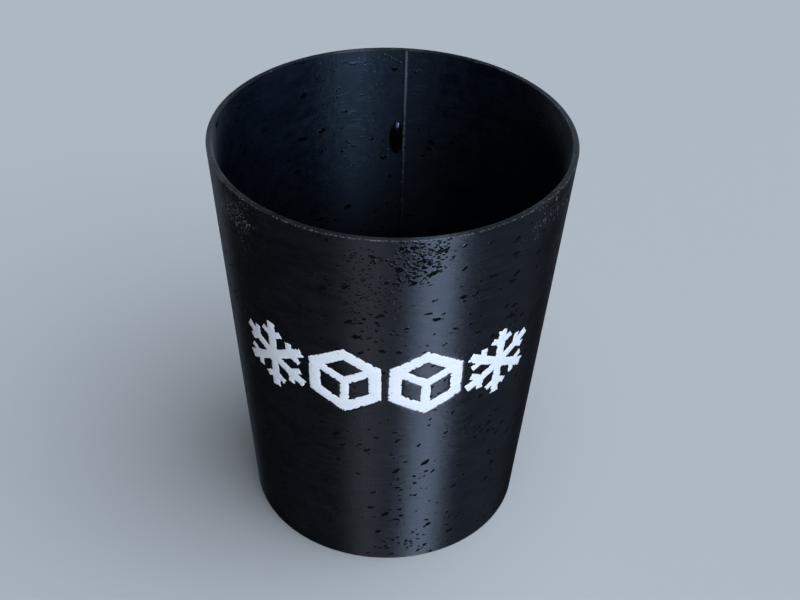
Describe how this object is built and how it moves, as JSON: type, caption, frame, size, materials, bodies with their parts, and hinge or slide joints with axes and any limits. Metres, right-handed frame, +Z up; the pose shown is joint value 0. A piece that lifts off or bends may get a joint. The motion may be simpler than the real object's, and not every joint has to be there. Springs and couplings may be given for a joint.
{
  "type": "handheld salt spreader",
  "caption": "Tapered open-top cup with a plain rim, a perforated floor for shaking out de-icing salt, and white snowflake and crystal pictograms inlaid in the front of its black wall.",
  "frame": {"origin": "centre of the base, on the surface that the cup stands on", "axes": "+Z up through the mouth; the pictograms face -Y; +X to the right seen from the front"},
  "size_m": [0.1199, 0.12, 0.1465],
  "materials": {
    "black_plastic": "satin, with fine horizontal print layers",
    "white_plastic": "satin, with fine horizontal print layers"
  },
  "bodies": {
    "root": {"cup": "black_plastic", "snowflake_left": "white_plastic", "crystal_left": "white_plastic", "crystal_right": "white_plastic", "snowflake_right": "white_plastic"}
  },
  "joints": []
}
